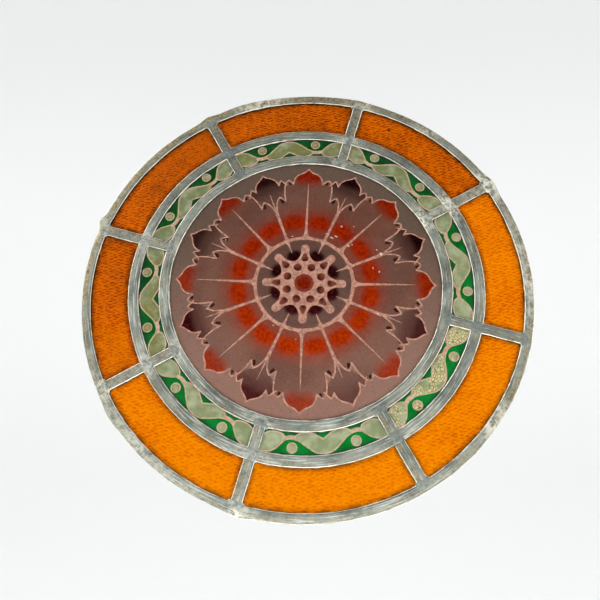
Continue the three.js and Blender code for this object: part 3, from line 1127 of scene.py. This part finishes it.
# Edges of the right half of the scroll, as degrees from the middle of the piece and radius: the
# upper and lower edge of the leaf, of the stem and of the half leaf at the end.
SCROLL_EDGES = (
    ((0, 184.6), (2.5, 183.2), (4.9, 178.6), (6.7, 174.6), (8.4, 171.4), (9.9, 170.2)),
    ((9.6, 167.2), (8.5, 164.6), (6.2, 163.0), (3.8, 163.8), (1.9, 166.8), (0, 170.2)),
    ((9.9, 170.2), (11.6, 169.9), (13.4, 171.6)),
    ((9.6, 167.2), (11.6, 167.0), (13.3, 168.6)),
    ((13.4, 171.6), (14.6, 176.2), (16.1, 181.2), (18.0, 184.6), (20.6, 185.8)),
    ((13.3, 168.6), (14.1, 165.8), (16.0, 164.4), (18.4, 165.0), (20.0, 167.4), (20.6, 170)),
)
DOT_AT = (10.5, 179.2)
DOT_RADIUS = 5.4
OUTLINE = 1.25
# How olive each piece's leaves are, and how far its paint has crazed.
LEAF_OLIVE = (0.45, 0.8, 0.3, 0.8, 0.3, 0.1, 0.15, 0.2)
LEAF_WORN = (0.0, 0.0, 0.0, 0.1, 0.0, 0.0, 1.0, 0.1)


def scroll(centre, piece):
    """Outline strokes and filled leaves of one green piece."""
    strokes, fills, halves = [], [], []
    rng = np.random.default_rng(300 + piece)
    sway = rng.uniform(-0.4, 0.4)
    lift = rng.uniform(-0.3, 0.3)
    for side in (-1, 1):
        paths = [smooth_path(beside(corners, centre + sway, side, lift), 1.5) for corners in SCROLL_EDGES]
        top, low, stem_top, stem_low, end_top, end_low = paths
        halves.append((top, low))
        strokes += [Stroke(path, OUTLINE * rng.uniform(0.95, 1.3)) for path in paths]
        strokes.append(Stroke((stem_top + stem_low) / 2, 3.2))
        corner = polar(centre + side * 22.4, (183.0, 172.0))
        fills.append(Area(np.vstack([end_top, corner, end_low[::-1]])))
        middle = polar(centre + sway + side * DOT_AT[0], DOT_AT[1] + rng.uniform(-0.6, 0.6))
        fills.append(disc(middle, DOT_RADIUS - 0.4))
        ring = unit(np.linspace(0, TURN, 25))
        strokes.append(Stroke(middle + ring * (DOT_RADIUS - 0.5), 1.2))
        coil = np.linspace(0, 1.6 * TURN, 22)
        strokes.append(Stroke(middle + unit(coil) * (0.4 + coil / 4.4)[:, None], 0.5))
    # The leaf in the middle runs across both halves.
    (other_top, other_low), (top, low) = halves
    fills.append(Area(np.vstack([top, low, other_low[::-1], other_top[::-1]])))
    return strokes, fills


def build_green(materials):
    inner_heart = INNER_TO - (INNER_WIDTH - HEART) / 2
    outer_heart = MIDDLE_TO - (MIDDLE_WIDTH + HEART) / 2
    for i in range(SPOKES):
        start = spoke_angle(i)
        x, y, _, _ = sector(inner_heart, outer_heart, start, 60, 12)
        grid = np.stack([x, y], axis=-1)
        edge = np.concatenate([grid[0, :-1], grid[:-1, -1], grid[-1, :0:-1], grid[:0:-1, 0]])
        strokes, fills = scroll(start + SPOKE_STEP / 2, i)
        seeds = face_seeds(2.4, Area(edge).holds)
        points, faces, slots, spots = painted_slab(edge, [(1, fills), (2, strokes)], seeds)
        radius = np.hypot(spots[:, 0], spots[:, 1])
        angle = (np.degrees(np.arctan2(spots[:, 1], spots[:, 0])) - start) % 360 + start
        # Dirt and painted shadow along the lead, and painted shade that is darker towards the upper left.
        tones = {
            "dirt_and_shadow": band_dirt_and_shadow(radius, angle, start, INNER_TO, MIDDLE_FROM, 4.2),
            "shade": smoothstep(-150, 130, spots[:, 1] - 0.45 * spots[:, 0]),
            "olive": np.full(len(spots), LEAF_OLIVE[i]),
            "worn": np.full(len(spots), LEAF_WORN[i]),
        }
        piece = make_object(f"green_{i + 1}", points, faces, materials, tones, slots, smooth=False)
        fit(piece, f"green_glass_{i + 1}")


# Studio

# The floor bends up into a backdrop: its level, where the backdrop stands, its bend, top and half width.
FLOOR_LEVEL = -1.25
BACKDROP_AT = 2.6
BACKDROP_BEND = 1.1
BACKDROP_TOP = 6.0
BACKDROP_HALF = 9.0
# Broad lights from far away: name, direction from the panel to the light, strength, spread in degrees.
SUNS = (
    ("key", (-0.74, -0.30, 0.60), 1.85, 40),
    ("side_fill", (0.86, -0.30, 0.10), 1.2, 40),
    ("back_fill", (0.5, 0.75, 0.8), 0.8, 50),
)
# A square light close by: place and size in metres, and watts.
LAMP_AT = (0.05, -0.9, -0.85)
LAMP_SIZE = 0.7
LAMP_WATTS = 10
# Light from all around: its dark side, and its strength over the height on that side.
SKY_DARK_SIDE = (0.3, 0.0, 0.95)
SKY_SPAN = (("From Min", -0.4), ("From Max", 0.7), ("To Min", 0.95), ("To Max", 0.3))
SKY_COLOUR = (0.97, 0.985, 1, 1)
# The lens: focal length and width of the view in pixels, tilt of the view and the axis of the tilt.
FOCAL_PIXELS = 535.4
VIEW_PIXELS = 600
SENSOR_WIDTH = 36
LENS_TILT = math.radians(-18.98)
TILT_AXIS = math.radians(-6.78)
# Centre of the panel's front seen from the lens: to the right, down and ahead, in millimetres.
CENTRE_SEEN = (4.92, -20.40, 594.1)


def floor_material():
    """Pale paper with painted shade: a little greyer at the foot and top of the backdrop."""
    s = Shader("pale_floor").plain(Specular_IOR_Level=0.02)
    height = s.node("ShaderNodeSeparateXYZ", Vector=s.place).outputs["Z"]
    s.colour = s.tones(height, -0.5, 0.8, (243, 244, 243), (250, 250, 250))
    s.lay(s.span(height, 1.2, 3.2), (240, 240, 239))
    return s.finish(0.9)


def add_floor():
    """Pale floor that bends up into a backdrop behind the panel."""
    profile = [(-BACKDROP_HALF, FLOOR_LEVEL)]
    for turn in np.linspace(0, math.pi / 2, 25):
        y = BACKDROP_AT - BACKDROP_BEND * (1 - math.sin(turn))
        profile.append((y, FLOOR_LEVEL + BACKDROP_BEND * (1 - math.cos(turn))))
    profile.append((BACKDROP_AT, BACKDROP_TOP))
    corners = [(x, y, z) for y, z in profile for x in (-BACKDROP_HALF, BACKDROP_HALF)]
    faces = [(2 * i, 2 * i + 1, 2 * i + 3, 2 * i + 2) for i in range(len(profile) - 1)]
    mesh = bpy.data.meshes.new("studio_floor")
    mesh.from_pydata(corners, [], faces)
    mesh.polygons.foreach_set("use_smooth", np.full(len(faces), True))
    mesh.materials.append(floor_material())
    add_object("studio_floor", mesh)


def add_light(name, kind, towards, strength):
    """A soft light that shines on the middle of the panel. The vector points from the panel to the light."""
    light = bpy.data.lights.new(name, kind)
    light.energy = strength
    lamp = add_object(name, light)
    lamp.rotation_euler = Vector(towards).to_track_quat("Z", "Y").to_euler()
    return lamp


def add_lights():
    for name, towards, strength, spread in SUNS:
        add_light(name, "SUN", towards, strength).data.angle = math.radians(spread)
    lamp = add_light("window", "AREA", LAMP_AT, LAMP_WATTS)
    lamp.data.size = LAMP_SIZE
    lamp.location = LAMP_AT
    lamp.visible_camera = False
    lamp.visible_transmission = False


def add_world():
    """Soft light from all around, brightest low on the left and darkest overhead."""
    world = bpy.data.worlds.new("studio")
    world.use_nodes = True
    tree = world.node_tree
    background = tree.nodes["Background"]
    background.inputs["Color"].default_value = SKY_COLOUR
    place = tree.nodes.new("ShaderNodeTexCoord")
    side = tree.nodes.new("ShaderNodeVectorMath")
    side.operation = "DOT_PRODUCT"
    side.inputs[1].default_value = SKY_DARK_SIDE
    rise = tree.nodes.new("ShaderNodeMapRange")
    rise.interpolation_type = "SMOOTHSTEP"
    for key, number in SKY_SPAN:
        rise.inputs[key].default_value = number
    tree.links.new(place.outputs["Generated"], side.inputs[0])
    tree.links.new(side.outputs["Value"], rise.inputs["Value"])
    tree.links.new(rise.outputs["Result"], background.inputs["Strength"])
    bpy.context.scene.world = world


def add_camera():
    """A camera set by its tilt to the panel and by where it sees the panel's centre."""
    tilt = Matrix.Rotation(LENS_TILT, 3, Vector((math.cos(TILT_AXIS), math.sin(TILT_AXIS), 0)))
    seen = tilt @ Matrix.Diagonal((1, -1, -1))
    lens = (Vector((0, 0, CAME_FRONT)) - seen.transposed() @ Vector(CENTRE_SEEN)) * MM
    right, down, ahead = seen[0], seen[1], seen[2]
    to_world = Matrix(((1, 0, 0), (0, 0, -1), (0, 1, 0)))
    axes = Matrix((to_world @ right, to_world @ -down, to_world @ -ahead)).transposed()
    camera = bpy.data.cameras.new("camera")
    camera.sensor_fit = "HORIZONTAL"
    camera.sensor_width = SENSOR_WIDTH
    camera.lens = SENSOR_WIDTH * FOCAL_PIXELS / VIEW_PIXELS
    camera.clip_start = 0.01
    obj = add_object("camera", camera)
    obj.matrix_world = Matrix.Translation(to_world @ lens) @ axes.to_4x4()
    bpy.context.scene.camera = obj


def build():
    lead = [lead_material(), cement_material()]
    build_rings(lead)
    build_spokes(lead)
    build_amber([amber_material()])
    build_green([green_material(), leaf_material(), outline_material()])
    build_rosette([
        rosette_material(),
        flat_material("flower_line", (150, 108, 92), (188, 140, 120)),
        flat_material("flower_dark", (34, 12, 10), (62, 28, 20)),
        flat_material("flower_heart_ring", (112, 40, 26), (136, 56, 40)),
        flat_material("flower_dust", (176, 150, 130), (222, 208, 190)),
    ])


add_camera()
add_floor()
add_world()
add_lights()
build()

bpy.context.scene.view_settings.view_transform = "Standard"
